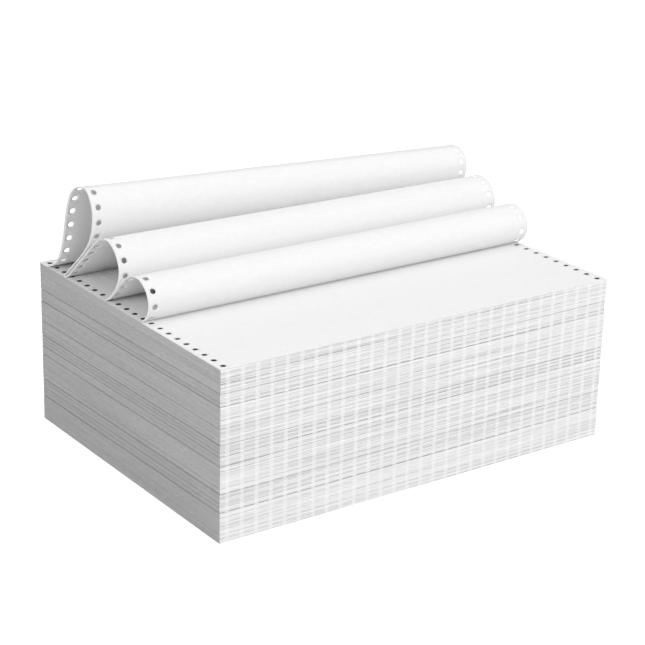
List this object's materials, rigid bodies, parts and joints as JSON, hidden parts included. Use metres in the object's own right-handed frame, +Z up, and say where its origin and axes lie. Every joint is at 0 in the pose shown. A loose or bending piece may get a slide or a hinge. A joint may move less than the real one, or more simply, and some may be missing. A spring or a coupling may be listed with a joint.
{
  "type": "fanfold continuous form paper",
  "caption": "Squared stack of wide fanfold continuous paper with feed holes down both margins, its top sheets raised in a row of leaning loops.",
  "frame": {"origin": "centre of the stack's footprint, on the surface it rests on", "axes": "+Z up; X along the folds, across the width of the web; -Y towards the folded face with the flat stretch of the top sheet, +Y towards the folded face behind the loops"},
  "size_m": [0.3778, 0.2794, 0.2245],
  "materials": {
    "paper": "uncoated white paper, matte"
  },
  "bodies": {
    "root": {"fanfold_paper": "paper"}
  },
  "joints": []
}
